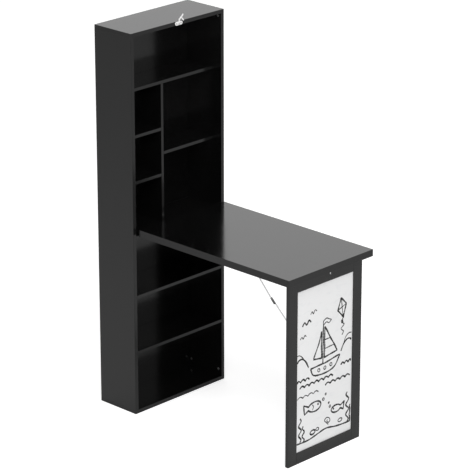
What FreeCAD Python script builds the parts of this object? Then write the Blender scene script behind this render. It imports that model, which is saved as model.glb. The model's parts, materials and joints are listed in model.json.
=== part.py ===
"""Folding desk bookcase, in millimetres.

A tall bookcase whose desk folds down from a recess in its front. The leg of the desk is a framed
whiteboard that folds flat under it. X runs across the front, Y from the front to the back, Z up.
The origin is on the floor, under the middle of the cabinet. In this file every Y is measured from
the cabinet's front plane, and the place() function moves it to the origin.
"""
import FreeCAD, Part
import Sketcher
import math
import os
import re

SIZES = {
    # cabinet
    "cabinet_width": 490,
    "cabinet_height": 1520,
    "cabinet_depth": 194,
    "panel_thickness": 15,
    "shelf_thickness": 12,
    "desk_level_top": 727,
    "recess_depth": 47,
    "left_column_width": 183,
    "low_shelf_share": 0.3314,
    "middle_shelf_share": 0.6585,
    "left_low_shelf_share": 0.333,
    "left_high_shelf_share": 0.6655,
    "right_shelf_share": 0.489,
    "upper_cell_height": 216,
    "shelf_side_gap": 0.5,
    "shelf_rear_gap": 0.5,
    # back panels
    "back_margin": 8,
    "back_thickness": 3,
    "groove_depth": 6,
    "groove_gap": 0.2,
    "strip_height": 14,
    "strip_wall": 1,
    "strip_end_gap": 0.5,
    # fittings of the cabinet
    "fit_gap": 0.05,
    "cut_overrun": 1,
    "cam_radius": 5,
    "cam_depth": 11,
    "cam_setback": 26,
    "top_cam_setback": 12.5,
    "cam_front_place": 18,
    "cam_rear_place": 24,
    "cam_gap": 0.1,
    "bolt_radius": 3,
    "bolt_bore_radius": 4,
    "bolt_grip": 9,
    "dowel_radius": 4,
    "dowel_half_length": 20,
    "divider_dowel_radius": 3,
    "divider_dowel_grip": 8,
    "divider_dowel_reach": 12,
    "pin_radius": 2.5,
    "pin_grip": 8,
    "pin_lug_reach": 7,
    "pin_lug_width": 8,
    "pin_lug_height": 6,
    "pin_setback": 25,
    # desk
    "desk_side_gap": 2,
    "desk_top_gap": 4.2,
    "desk_bottom_gap": 3.8,
    "desk_level_gap": 1,
    "desk_thickness": 27,
    # hinges
    "hinge_inset": 78,
    "hinge_drop": 5,
    "closing_gap": 0.2,
    "knuckle_gap": 0.3,
    "leaf_thickness": 1.5,
    "hinge_length": 50,
    "hinge_pin_radius": 1.5,
    "hinge_pin_head_radius": 2.3,
    "hinge_pin_head": 1,
    "short_leaf_reach": 10.7,
    "long_leaf_reach": 28,
    "short_leaf_screw_edge": 2.7,
    "long_leaf_screw_edge": 8,
    "hinge_screw_pitch": 17,
    "small_screw_radius": 1.2,
    "small_screw_head_radius": 2.3,
    "small_screw_head": 1.2,
    "small_screw_length": 12,
    # leg
    "leg_side_inset": 30,
    "leg_end_inset": 26,
    "leg_thickness": 15,
    "leg_top_gap": 0.5,
    "stile_width": 46,
    "top_rail_height": 45.5,
    "bottom_rail_height": 45.5,
    "whiteboard_thickness": 4,
    "whiteboard_setback": 4,
    "whiteboard_groove": 8,
    "frame_dowel_radius": 3,
    "frame_dowel_half_length": 18,
    "frame_dowel_spread": 10,
    # stays
    "stay_inset": 5.75,
    "stay_reach": 149,
    "stay_offset": 3.5,
    "stay_link_width": 6,
    "stay_link_thickness": 1.5,
    "stay_ear_gap": 0.5,
    "stay_link_gap": 2,
    "stay_boss_radius": 3,
    "stay_boss_height": 0.9,
    "stay_rivet_radius": 1.5,
    "stay_rivet_head_radius": 2.8,
    "stay_rivet_head": 0.7,
    "stay_ear_reach": 4,
    "stay_ear_width": 10,
    "stay_foot_length": 34,
    "stay_foot_width": 9.5,
    "stay_screw_pitch": 22,
    "sleeve_length": 27,
    "sleeve_overlap": 1,
    "sleeve_width": 4.6,
    "sleeve_wall": 1.5,
    "sleeve_link_gap": 1.2,
    # latch
    "latch_base_length": 38,
    "latch_base_height": 14,
    "latch_base_thickness": 3,
    "latch_base_shift": 2.5,
    "latch_screw_place": 12,
    "latch_screw_radius": 1.6,
    "latch_screw_head_radius": 3.3,
    "latch_screw_head": 2,
    "latch_screw_length": 15,
    "latch_pivot_radius": 2,
    "latch_pivot_head_radius": 4.2,
    "latch_pivot_head": 1.5,
    "hook_gap": 0.5,
    "hook_thickness": 3.5,
    "hook_boss_radius": 5.5,
    "hook_bar_width": 4.2,
    "hook_tip_radius": 2.8,
    "hook_reach": 37.7,
    "hook_travel": 18.5,
    "hook_prong_start": 24,
    "hook_prong_end": 72,
    "knob_radius": 2.5,
    "knob_head_radius": 5,
    "knob_head": 2,
    "knob_reach": 10,
    "knob_grip": 12,
}

# Sizes and places that follow from the others. The desk fills the recess when it is folded up.
DERIVED = {
    "lower_section_height": "desk_level_top - 2 * panel_thickness",
    "low_shelf_underside": "panel_thickness + low_shelf_share * lower_section_height",
    "middle_shelf_underside": "panel_thickness + middle_shelf_share * lower_section_height",
    "upper_shelf_underside": "cabinet_height - panel_thickness - upper_cell_height - shelf_thickness",
    "column_height": "upper_shelf_underside - desk_level_top",
    "left_low_shelf_underside": "desk_level_top + left_low_shelf_share * column_height",
    "left_high_shelf_underside": "desk_level_top + left_high_shelf_share * column_height",
    "right_shelf_underside": "desk_level_top + right_shelf_share * column_height",
    "desk_underside": "desk_level_top + desk_level_gap",
    "desk_width": "cabinet_width - 2 * panel_thickness - 2 * desk_side_gap",
    "desk_length": "cabinet_height - panel_thickness - desk_level_top - desk_top_gap - desk_bottom_gap",
    "desk_front_gap": "2 * hinge_drop + closing_gap + desk_bottom_gap - desk_level_gap",
    "leg_width": "desk_width - 2 * leg_side_inset",
    "leg_inner_face": "desk_front_gap + desk_length - leg_end_inset - leg_thickness",
    "desk_hinge_place": "desk_width / 2 - hinge_inset",
    "leg_hinge_place": "leg_width / 2 - hinge_inset",
    "stay_plane": "leg_width / 2 - stay_inset",
}

# Places along the hook's bar, across and up from its pivot, as shares of its reach
HOOK_BAR_SHARES = ((0, 0), (0.04, 0.40), (0.20, 0.54), (0.46, 0.71), (0.54, 0.85))
# Knuckles of one hinge: the odd ones turn with the moving leaf
KNUCKLES = 5
SIDES = {"left": -1, "right": 1}

doc = FreeCAD.newDocument("FoldingDeskBookcase")
sheet = doc.addObject("Spreadsheet::Sheet", "Sizes")
for row, (alias, value) in enumerate(SIZES.items(), start=1):
    sheet.set("A%d" % row, alias.replace("_", " "))
    sheet.set("B%d" % row, str(value))
    sheet.setAlias("B%d" % row, alias)
doc.recompute()


def spell_out(text):
    """Write a sum of bare size names as an expression on the sheet."""
    def spelled(match):
        name = match.group(0)
        if name in DERIVED:
            return "(%s)" % spell_out(DERIVED[name])
        return "Sizes." + name if name in SIZES else name
    return re.sub(r"[a-z_]+", spelled, text)


def bind(item, path, text):
    """Bind one property to a sum of sizes, written with their bare names."""
    item.setExpression(path, spell_out(text))


def read(text):
    """The present value of a sum of sizes, for the few shapes that are worked out here."""
    return float(sheet.evalExpression(spell_out(text)))


def place(item, x, y, z):
    bind(item, "Placement.Base.x", x)
    bind(item, "Placement.Base.y", "(%s) - cabinet_depth / 2" % y)
    bind(item, "Placement.Base.z", z)


def span(side, inner, outer):
    """Limits across X of a piece that lies between two distances from the middle, on one side."""
    if side > 0:
        return inner, outer
    return "-(%s)" % outer, "-(%s)" % inner


STEPS = ("-1", "1")


def at_side(side, distance):
    return distance if side > 0 else "-(%s)" % distance


def slab(x, y, z):
    """A rectangular block between pairs of limits."""
    item = doc.addObject("Part::Box", "block")
    for path, (low, high) in (("Length", x), ("Width", y), ("Height", z)):
        bind(item, path, "(%s) - (%s)" % (high, low))
    place(item, x[0], y[0], z[0])
    return item


TURNS = {
    "x": FreeCAD.Rotation(FreeCAD.Vector(0, 1, 0), 90),
    "y": FreeCAD.Rotation(FreeCAD.Vector(1, 0, 0), -90),
    "z": FreeCAD.Rotation(),
}


def rod(axis, start, end, across, radius):
    """A round bar along one axis. The pair called across holds its place on the other two axes."""
    item = doc.addObject("Part::Cylinder", "rod")
    bind(item, "Radius", radius)
    bind(item, "Height", "(%s) - (%s)" % (end, start))
    aim(item, axis, start, across)
    return item


def cone(axis, start, end, across, start_radius, end_radius):
    item = doc.addObject("Part::Cone", "cone")
    bind(item, "Radius1", start_radius)
    bind(item, "Radius2", end_radius)
    bind(item, "Height", "(%s) - (%s)" % (end, start))
    aim(item, axis, start, across)
    return item


def aim(item, axis, start, across):
    item.Placement = FreeCAD.Placement(FreeCAD.Vector(), TURNS[axis])
    first, second = across
    places = {"x": (start, first, second), "y": (first, start, second), "z": (first, second, start)}
    place(item, *places[axis])


def board(name, x, y, z):
    """A flat board: a rectangle sketched on the floor plane and padded to its height."""
    body = doc.addObject("PartDesign::Body", name)
    sketch = body.newObject("Sketcher::SketchObject", name + "_outline")
    plane = [item for item in body.Origin.OriginFeatures if item.Role == "XY_Plane"][0]
    sketch.AttachmentSupport = [(plane, "")]
    sketch.MapMode = "FlatFace"
    length = read("(%s) - (%s)" % (x[1], x[0]))
    depth = read("(%s) - (%s)" % (y[1], y[0]))
    corners = [(0, 0), (length, 0), (length, depth), (0, depth)]
    for number in range(len(corners)):
        start = FreeCAD.Vector(*corners[number], 0)
        end = FreeCAD.Vector(*corners[(number + 1) % len(corners)], 0)
        sketch.addGeometry(Part.LineSegment(start, end), False)
    for number in range(len(corners)):
        sketch.addConstraint(Sketcher.Constraint("Coincident", number, 2, (number + 1) % len(corners), 1))
    sketch.addConstraint(Sketcher.Constraint("Horizontal", 0))
    sketch.addConstraint(Sketcher.Constraint("Vertical", 1))
    sketch.addConstraint(Sketcher.Constraint("Horizontal", 2))
    sketch.addConstraint(Sketcher.Constraint("Vertical", 3))
    sketch.addConstraint(Sketcher.Constraint("Coincident", 0, 1, -1, 1))
    across = sketch.addConstraint(Sketcher.Constraint("DistanceX", 0, 1, 0, 2, length))
    along = sketch.addConstraint(Sketcher.Constraint("DistanceY", 1, 1, 1, 2, depth))
    bind(sketch, "Constraints[%d]" % across, "(%s) - (%s)" % (x[1], x[0]))
    bind(sketch, "Constraints[%d]" % along, "(%s) - (%s)" % (y[1], y[0]))
    pad = body.newObject("PartDesign::Pad", name + "_pad")
    pad.Profile = sketch
    bind(pad, "Length", "(%s) - (%s)" % (z[1], z[0]))
    place(body, x[0], y[0], z[0])
    return body


def fuse(parts):
    item = doc.addObject("Part::MultiFuse", "joined")
    item.Shapes = parts
    item.Refine = True
    return item


def cut(base, tools):
    """Take the tools out of the base."""
    item = doc.addObject("Part::Cut", "cut")
    item.Base = base
    item.Tool = tools[0] if len(tools) == 1 else fuse(tools)
    return item


def group(parts):
    """Like pieces that share a node, each a solid of its own."""
    item = doc.addObject("Part::Compound", "group")
    item.Links = parts
    return item


nodes = []


def keep(name, item):
    """Name a finished piece after what it is."""
    item.Label = name
    nodes.append(item)
    return item


# Places that several pieces share, measured from the middle, the front plane and the floor
INNER_HALF = "cabinet_width / 2 - panel_thickness"
LEFT_INNER = "-(%s)" % INNER_HALF
OUTER_HALF = "cabinet_width / 2"
SIDE_MIDDLE = "cabinet_width / 2 - panel_thickness / 2"
TOP_UNDERSIDE = "cabinet_height - panel_thickness"
LEVEL_UNDERSIDE = "desk_level_top - panel_thickness"
LEVEL_MIDDLE = "desk_level_top - panel_thickness / 2"
BACK_FRONT = "cabinet_depth - back_margin - back_thickness"
BACK_REAR = "cabinet_depth - back_margin"
SHELF_REAR = BACK_FRONT + " - shelf_rear_gap"
LEVEL_REAR = BACK_FRONT + " - strip_wall - shelf_rear_gap"
CAM_REAR = "cabinet_depth - cam_rear_place"
DIVIDER_LEFT = "-(cabinet_width / 2 - panel_thickness) + left_column_width"
DIVIDER_RIGHT = DIVIDER_LEFT + " + shelf_thickness"
DIVIDER_MIDDLE = DIVIDER_LEFT + " + shelf_thickness / 2"
DOWEL_DEPTH = "cabinet_depth / 2"
CAM_ROWS = ("cam_front_place", CAM_REAR)
LOW_CAM_HEIGHT = "panel_thickness + cam_setback"
HIGH_CAM_HEIGHT = TOP_UNDERSIDE + " - top_cam_setback"

# Shelves: underside, front, left limit, right limit
SHELVES = {
    "bottom_section_low_shelf": ("low_shelf_underside", "0", LEFT_INNER, INNER_HALF),
    "bottom_section_middle_shelf": ("middle_shelf_underside", "0", LEFT_INNER, INNER_HALF),
    "left_column_low_shelf": ("left_low_shelf_underside", "recess_depth", LEFT_INNER, DIVIDER_LEFT),
    "left_column_high_shelf": ("left_high_shelf_underside", "recess_depth", LEFT_INNER, DIVIDER_LEFT),
    "right_column_shelf": ("right_shelf_underside", "recess_depth", DIVIDER_RIGHT, INNER_HALF),
    "upper_shelf": ("upper_shelf_underside", "recess_depth", LEFT_INNER, INNER_HALF),
}


def pin_bar(face, sign, y, underside, radius, grip, reach):
    """A shelf pin's shank, or the hole for it. The sign points out of the panel at that face."""
    inside = "%s - (%s) * (%d)" % (face, grip, sign)
    outside = "%s + (%s) * (%d)" % (face, reach, sign)
    start, end = (inside, outside) if sign > 0 else (outside, inside)
    return rod("x", start, end, (y, "%s - pin_lug_height / 2" % underside), radius)


def shelf_pin_rows(front):
    return ("(%s) + pin_setback" % front, "%s - pin_setback" % SHELF_REAR)


def pin_holes(face, sign, shelves):
    """Holes in one panel's face for the pins of the named shelves."""
    holes = []
    for shelf in shelves:
        underside, front = SHELVES[shelf][:2]
        for y in shelf_pin_rows(front):
            holes.append(pin_bar(face, sign, y, underside, "pin_radius + fit_gap",
                                 "pin_grip + groove_gap", "cut_overrun"))
    return holes


def side_panel(side, shelves):
    """A side panel with its back groove, cam pockets, bolt and dowel bores and shelf pin holes."""
    panel = board("side_board", span(side, INNER_HALF, OUTER_HALF), ("0", "cabinet_depth"),
                  ("panel_thickness", TOP_UNDERSIDE))
    cuts = [slab(span(side, INNER_HALF + " - cut_overrun", INNER_HALF + " + groove_depth"),
                 (BACK_FRONT + " - groove_gap", BACK_REAR + " + groove_gap"),
                 ("panel_thickness - cut_overrun", TOP_UNDERSIDE + " + cut_overrun"))]
    middle = at_side(side, SIDE_MIDDLE)
    pocket = span(side, INNER_HALF + " - cut_overrun", INNER_HALF + " + cam_depth + cam_gap")
    grip = span(side, INNER_HALF + " - cut_overrun", INNER_HALF + " + bolt_grip")
    for y in CAM_ROWS:
        for height, start, end in (
            (LOW_CAM_HEIGHT, "panel_thickness - cut_overrun", LOW_CAM_HEIGHT),
            (HIGH_CAM_HEIGHT, HIGH_CAM_HEIGHT, TOP_UNDERSIDE + " + cut_overrun"),
        ):
            cuts.append(rod("x", *pocket, (y, height), "cam_radius + cam_gap"))
            cuts.append(rod("z", start, end, (middle, y), "bolt_bore_radius"))
        cuts.append(rod("x", *grip, (y, LEVEL_MIDDLE), "bolt_radius + fit_gap"))
    cuts.append(rod("z", "panel_thickness - cut_overrun", "panel_thickness + dowel_half_length",
                    (middle, DOWEL_DEPTH), "dowel_radius + fit_gap"))
    cuts.append(rod("z", TOP_UNDERSIDE + " - dowel_half_length", TOP_UNDERSIDE + " + cut_overrun",
                    (middle, DOWEL_DEPTH), "dowel_radius + fit_gap"))
    cuts.append(rod("x", *grip, (DOWEL_DEPTH, LEVEL_MIDDLE), "dowel_radius + fit_gap"))
    cuts += pin_holes(at_side(side, INNER_HALF), -side, shelves)
    return cut(panel, cuts)


def end_panel(z, inner, outward):
    """The top or bottom panel, with its back groove and the bores for the side panels' fittings."""
    panel = board("end_board", ("-(%s)" % OUTER_HALF, OUTER_HALF), ("0", "cabinet_depth"), z)

    def limits(depth):
        inside = "%s + (%s) * (%d)" % (inner, depth, outward)
        outside = "%s - cut_overrun * (%d)" % (inner, outward)
        return (outside, inside) if outward > 0 else (inside, outside)

    cuts = [slab((LEFT_INNER + " - groove_depth", INNER_HALF + " + groove_depth"),
                 (BACK_FRONT + " - groove_gap", BACK_REAR + " + groove_gap"), limits("groove_depth"))]
    for side in SIDES.values():
        middle = at_side(side, SIDE_MIDDLE)
        for y in CAM_ROWS:
            cuts.append(rod("z", *limits("bolt_grip"), (middle, y), "bolt_radius + fit_gap"))
        cuts.append(rod("z", *limits("bolt_grip"), (middle, DOWEL_DEPTH), "dowel_radius + fit_gap"))
    return panel, cuts


def screw_bore(axis, start, end, across, radius="small_screw_radius"):
    return rod(axis, start, end, across, radius + " + fit_gap")


# Cabinet boards
keep("left_side_panel", side_panel(-1, [name for name in SHELVES if name != "right_column_shelf"]))
keep("right_side_panel", side_panel(1, [name for name in SHELVES if not name.startswith("left_column")]))

bottom_board, bottom_cuts = end_panel(("0", "panel_thickness"), "panel_thickness", -1)
keep("bottom_panel", cut(bottom_board, bottom_cuts))

LATCH_HEIGHT = "cabinet_height - panel_thickness / 2"
LATCH_SCREW_PLACES = ["latch_base_shift + " + at_side(side, "latch_screw_place") for side in SIDES.values()]
top_board, top_cuts = end_panel((TOP_UNDERSIDE, "cabinet_height"), TOP_UNDERSIDE, 1)
for x in LATCH_SCREW_PLACES:
    top_cuts.append(screw_bore("y", "-cut_overrun", "latch_screw_length", (x, LATCH_HEIGHT),
                               "latch_screw_radius"))
top_cuts.append(screw_bore("y", "-cut_overrun", "latch_screw_length", ("0", LATCH_HEIGHT),
                           "latch_pivot_radius"))
keep("top_panel", cut(top_board, top_cuts))

HINGE_HEIGHT = "desk_underside - hinge_drop"
DESK_AXIS = "-(hinge_drop + closing_gap)"
LEG_AXIS = "-leg_inner_face + hinge_drop"
SCREW_ROW = ("-1", "0", "1")


def hinge_screw_places(centre):
    return ["%s + (%s) * hinge_screw_pitch" % (centre, step) for step in SCREW_ROW]


DESK_HINGES = [at_side(side, "desk_hinge_place") for side in SIDES.values()]
LEG_HINGES = [at_side(side, "leg_hinge_place") for side in SIDES.values()]
CABINET_SCREW_HEIGHT = HINGE_HEIGHT + " - short_leaf_reach + short_leaf_screw_edge"

level_board = board("level_board", (LEFT_INNER, INNER_HALF), ("0", LEVEL_REAR),
                    (LEVEL_UNDERSIDE, "desk_level_top"))
level_cuts = []
for side in SIDES.values():
    cam_place = at_side(side, INNER_HALF + " - cam_setback")
    edge = span(side, INNER_HALF + " - cam_setback", INNER_HALF + " + cut_overrun")
    dowel = span(side, INNER_HALF + " - dowel_half_length", INNER_HALF + " + cut_overrun")
    for y in CAM_ROWS:
        level_cuts.append(rod("z", LEVEL_UNDERSIDE + " - cut_overrun",
                              LEVEL_UNDERSIDE + " + cam_depth + cam_gap", (cam_place, y),
                              "cam_radius + cam_gap"))
        level_cuts.append(rod("x", *edge, (y, LEVEL_MIDDLE), "bolt_bore_radius"))
    level_cuts.append(rod("x", *dowel, (DOWEL_DEPTH, LEVEL_MIDDLE), "dowel_radius + fit_gap"))
for centre in DESK_HINGES:
    for x in hinge_screw_places(centre):
        level_cuts.append(screw_bore("y", "-cut_overrun", "small_screw_length", (x, CABINET_SCREW_HEIGHT)))
DIVIDER_ROWS = ("recess_depth + pin_setback", SHELF_REAR + " - pin_setback")
for y in DIVIDER_ROWS:
    level_cuts.append(rod("z", "desk_level_top - divider_dowel_grip", "desk_level_top + cut_overrun",
                          (DIVIDER_MIDDLE, y), "divider_dowel_radius + fit_gap"))
keep("desk_level_board", cut(level_board, level_cuts))

# Shelves and the column divider
for name, (underside, front, left, right) in SHELVES.items():
    shelf = board(name + "_board", (left + " + shelf_side_gap", right + " - shelf_side_gap"),
                  (front, SHELF_REAR), (underside, underside + " + shelf_thickness"))
    if name == "upper_shelf":
        bore_z = (underside + " - cut_overrun", underside + " + divider_dowel_grip")
        shelf = cut(shelf, [rod("z", *bore_z, (DIVIDER_MIDDLE, y), "divider_dowel_radius + fit_gap")
                            for y in DIVIDER_ROWS])
    keep(name, shelf)

divider_board = board("divider_board", (DIVIDER_LEFT, DIVIDER_RIGHT), ("recess_depth", SHELF_REAR),
                      ("desk_level_top", "upper_shelf_underside"))
divider_cuts = pin_holes(DIVIDER_LEFT, -1, ["left_column_low_shelf", "left_column_high_shelf"])
divider_cuts += pin_holes(DIVIDER_RIGHT, 1, ["right_column_shelf"])
for y in DIVIDER_ROWS:
    divider_cuts.append(rod("z", "desk_level_top - cut_overrun", "desk_level_top + divider_dowel_reach",
                            (DIVIDER_MIDDLE, y), "divider_dowel_radius + fit_gap"))
    divider_cuts.append(rod("z", "upper_shelf_underside - divider_dowel_reach",
                            "upper_shelf_underside + cut_overrun", (DIVIDER_MIDDLE, y),
                            "divider_dowel_radius + fit_gap"))
keep("column_divider", cut(divider_board, divider_cuts))

# Back panels, held in the grooves and joined by a strip behind the desk-level board
BACK_HALF = INNER_HALF + " + groove_depth - groove_gap"
STRIP_LOW = LEVEL_MIDDLE + " - strip_wall / 2"
STRIP_HIGH = LEVEL_MIDDLE + " + strip_wall / 2"
BACK_SPANS = {
    "lower_back_panel": ("panel_thickness - groove_depth + groove_gap", STRIP_LOW),
    "upper_back_panel": (STRIP_HIGH, TOP_UNDERSIDE + " + groove_depth - groove_gap"),
}
for name, z in BACK_SPANS.items():
    keep(name, board(name + "_board", ("-(%s)" % BACK_HALF, BACK_HALF), (BACK_FRONT, BACK_REAR), z))
STRIP_X = (LEFT_INNER + " + strip_end_gap", INNER_HALF + " - strip_end_gap")
STRIP_FLANGE = (LEVEL_MIDDLE + " - strip_height / 2", LEVEL_MIDDLE + " + strip_height / 2")
keep("back_joining_strip", fuse([
    slab(STRIP_X, (BACK_FRONT + " - strip_wall", BACK_FRONT), STRIP_FLANGE),
    slab(STRIP_X, (BACK_FRONT, BACK_REAR), (STRIP_LOW, STRIP_HIGH)),
    slab(STRIP_X, (BACK_REAR, BACK_REAR + " + strip_wall"), STRIP_FLANGE),
]))

# Cam locks, their bolts, dowels and shelf pins
cams, bolts, dowels, divider_dowels, pins = [], [], [], [], []
for side in SIDES.values():
    middle = at_side(side, SIDE_MIDDLE)
    disc = span(side, INNER_HALF, INNER_HALF + " + cam_depth")
    for y in CAM_ROWS:
        for height, start, end in (
            (LOW_CAM_HEIGHT, "panel_thickness - bolt_grip", LOW_CAM_HEIGHT),
            (HIGH_CAM_HEIGHT, HIGH_CAM_HEIGHT, TOP_UNDERSIDE + " + bolt_grip"),
        ):
            slot = rod("z", start + " - fit_gap", end + " + fit_gap", (middle, y), "bolt_radius + fit_gap")
            cams.append(cut(rod("x", *disc, (y, height), "cam_radius"), [slot]))
            bolts.append(rod("z", start, end, (middle, y), "bolt_radius"))
        shank = span(side, INNER_HALF + " - cam_setback", INNER_HALF + " + bolt_grip")
        wide = span(side, INNER_HALF + " - cam_setback - fit_gap", INNER_HALF + " + bolt_grip")
        level_cam = rod("z", LEVEL_UNDERSIDE, LEVEL_UNDERSIDE + " + cam_depth",
                        (at_side(side, INNER_HALF + " - cam_setback"), y), "cam_radius")
        cams.append(cut(level_cam, [rod("x", *wide, (y, LEVEL_MIDDLE), "bolt_radius + fit_gap")]))
        bolts.append(rod("x", *shank, (y, LEVEL_MIDDLE), "bolt_radius"))
    dowels.append(rod("z", "panel_thickness - bolt_grip", "panel_thickness + dowel_half_length",
                      (middle, DOWEL_DEPTH), "dowel_radius"))
    dowels.append(rod("z", TOP_UNDERSIDE + " - dowel_half_length", TOP_UNDERSIDE + " + bolt_grip",
                      (middle, DOWEL_DEPTH), "dowel_radius"))
    dowels.append(rod("x", *span(side, INNER_HALF + " - dowel_half_length", INNER_HALF + " + bolt_grip"),
                      (DOWEL_DEPTH, LEVEL_MIDDLE), "dowel_radius"))
for y in DIVIDER_ROWS:
    divider_dowels.append(rod("z", "desk_level_top - divider_dowel_grip",
                              "desk_level_top + divider_dowel_reach", (DIVIDER_MIDDLE, y),
                              "divider_dowel_radius"))
    divider_dowels.append(rod("z", "upper_shelf_underside - divider_dowel_reach",
                              "upper_shelf_underside + divider_dowel_grip", (DIVIDER_MIDDLE, y),
                              "divider_dowel_radius"))
for underside, front, left, right in SHELVES.values():
    for y in shelf_pin_rows(front):
        for face, sign in ((left, 1), (right, -1)):
            lug_ends = ("%s" % face, "%s + pin_lug_reach * (%d)" % (face, sign))
            lug_x = lug_ends if sign > 0 else (lug_ends[1], lug_ends[0])
            lug = slab(lug_x, ("%s - pin_lug_width / 2" % y, "%s + pin_lug_width / 2" % y),
                       ("%s - pin_lug_height" % underside, underside))
            shank = pin_bar(face, sign, y, underside, "pin_radius", "pin_grip", "pin_lug_reach / 2")
            pins.append(fuse([lug, shank]))
keep("cam_locks", group(cams))
keep("cam_bolts", group(bolts))
keep("wood_dowels", group(dowels))
keep("divider_dowels", group(divider_dowels))
keep("shelf_pins", group(pins))

# Latch on the front edge of the top panel
BASE_ENDS = ["latch_base_shift + (%s) * (latch_base_length - latch_base_height) / 2" % step
             for step in STEPS]
BASE_Y = ("-latch_base_thickness", "0")
base_ends = [rod("y", *BASE_Y, (x, LATCH_HEIGHT), "latch_base_height / 2") for x in BASE_ENDS]
base_middle = slab(BASE_ENDS, BASE_Y,
                   (LATCH_HEIGHT + " - latch_base_height / 2", LATCH_HEIGHT + " + latch_base_height / 2"))


def latch_screw(x, gap):
    """A countersunk screw of the latch, or with a gap the hole for it in the base."""
    head = cone("y", "-latch_base_thickness", "-latch_base_thickness + latch_screw_head", (x, LATCH_HEIGHT),
                "latch_screw_head_radius" + gap, "latch_screw_radius" + gap)
    shank = rod("y", "-latch_base_thickness + latch_screw_head / 2", "latch_screw_length - groove_gap",
                (x, LATCH_HEIGHT), "latch_screw_radius" + gap)
    return fuse([head, shank])


pivot_hole = rod("y", "-latch_base_thickness - cut_overrun", "cut_overrun", ("0", LATCH_HEIGHT),
                 "latch_pivot_radius + fit_gap")
keep("latch_base", cut(fuse(base_ends + [base_middle]),
                       [latch_screw(x, " + fit_gap") for x in LATCH_SCREW_PLACES] + [pivot_hole]))
keep("latch_screws", group([latch_screw(x, "") for x in LATCH_SCREW_PLACES]))
HOOK_REAR = "-latch_base_thickness - hook_gap"
HOOK_FRONT = HOOK_REAR + " - hook_thickness"
PIVOT_HEAD = HOOK_FRONT + " - closing_gap"
keep("latch_pivot", fuse([
    rod("y", PIVOT_HEAD, "latch_screw_length - groove_gap", ("0", LATCH_HEIGHT), "latch_pivot_radius"),
    rod("y", PIVOT_HEAD + " - latch_pivot_head", PIVOT_HEAD, ("0", LATCH_HEIGHT),
        "latch_pivot_head_radius"),
]))


def hook_shape():
    """The swing hook about its pivot: a boss, a bent bar and a prong that is an arc about the pivot."""
    depth = read("hook_thickness")
    half_bar = read("hook_bar_width / 2")
    reach = read("hook_reach")
    forward = FreeCAD.Vector(0, -1, 0)

    def disc(x, z, radius):
        return Part.makeCylinder(radius, depth, FreeCAD.Vector(x, 0, z), forward)

    points = [FreeCAD.Vector(x * reach, 0, z * reach) for x, z in HOOK_BAR_SHARES]
    solids = [disc(0, 0, read("hook_boss_radius"))]
    for start, end in zip(points, points[1:]):
        along = (end - start).normalize()
        across = FreeCAD.Vector(along.z, 0, -along.x) * half_bar
        ring = [start + across, end + across, end - across, start - across, start + across]
        solids.append(Part.Face(Part.makePolygon(ring)).extrude(forward * depth))
        solids.append(disc(end.x, end.z, half_bar))
    inner = read("hook_travel + knob_radius + hook_gap")
    outer = inner + read("hook_bar_width")
    low, high = (math.radians(read(name)) for name in ("hook_prong_start", "hook_prong_end"))

    def polar(radius, angle):
        return FreeCAD.Vector(radius * math.cos(angle), 0, radius * math.sin(angle))

    half_way = (low + high) / 2
    edges = [
        Part.Arc(polar(inner, low), polar(inner, half_way), polar(inner, high)).toShape(),
        Part.makeLine(polar(inner, high), polar(outer, high)),
        Part.Arc(polar(outer, high), polar(outer, half_way), polar(outer, low)).toShape(),
        Part.makeLine(polar(outer, low), polar(inner, low)),
    ]
    solids.append(Part.Face(Part.Wire(edges)).extrude(forward * depth))
    tip_radius = read("hook_tip_radius")
    tip = polar(inner + tip_radius, low)
    solids.append(disc(tip.x, tip.z, tip_radius))
    whole = solids[0].multiFuse(solids[1:]).removeSplitter()
    bore = Part.makeCylinder(read("latch_pivot_radius + fit_gap"), depth + 2 * read("cut_overrun"),
                             FreeCAD.Vector(0, read("cut_overrun"), 0), forward)
    return whole.cut(bore)


hook = doc.addObject("Part::Feature", "hook")
hook.Shape = hook_shape()
place(hook, "0", HOOK_REAR, LATCH_HEIGHT)
keep("latch_hook", hook)

# Hinges: each leaf is a plate on its board and the knuckles that turn on the pin
KNUCKLE_RADIUS = "hinge_drop - knuckle_gap"


def knuckle_spans(centre, moving):
    """Limits across X of the knuckles of one leaf."""
    spans = []
    for number in range(KNUCKLES):
        if number % 2 == moving:
            start = "%s - hinge_length / 2 + %d * hinge_length / %d" % (centre, number, KNUCKLES)
            end = start + " + hinge_length / %d" % KNUCKLES
            spans.append((start + " + knuckle_gap / 2", end + " - knuckle_gap / 2"))
    return spans


def leaf(centre, axis_y, moving, plate, tab, holes):
    """One hinge leaf. The plate and tab are pairs of Y and Z limits."""
    whole = (centre + " - hinge_length / 2", centre + " + hinge_length / 2")
    parts = [slab(whole, *plate)]
    for x in knuckle_spans(centre, moving):
        parts.append(rod("x", *x, (axis_y, HINGE_HEIGHT), KNUCKLE_RADIUS))
        parts.append(slab(x, *tab))
    bore = rod("x", whole[0] + " - cut_overrun", whole[1] + " + cut_overrun", (axis_y, HINGE_HEIGHT),
               "hinge_pin_radius + fit_gap")
    return cut(fuse(parts), [bore] + holes)


def hinge_pin(centre, axis_y):
    low, high = centre + " - hinge_length / 2", centre + " + hinge_length / 2"
    return fuse([
        rod("x", low, high, (axis_y, HINGE_HEIGHT), "hinge_pin_radius"),
        rod("x", low + " - hinge_pin_head", low, (axis_y, HINGE_HEIGHT), "hinge_pin_head_radius"),
        rod("x", high, high + " + hinge_pin_head", (axis_y, HINGE_HEIGHT), "hinge_pin_head_radius"),
    ])


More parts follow.
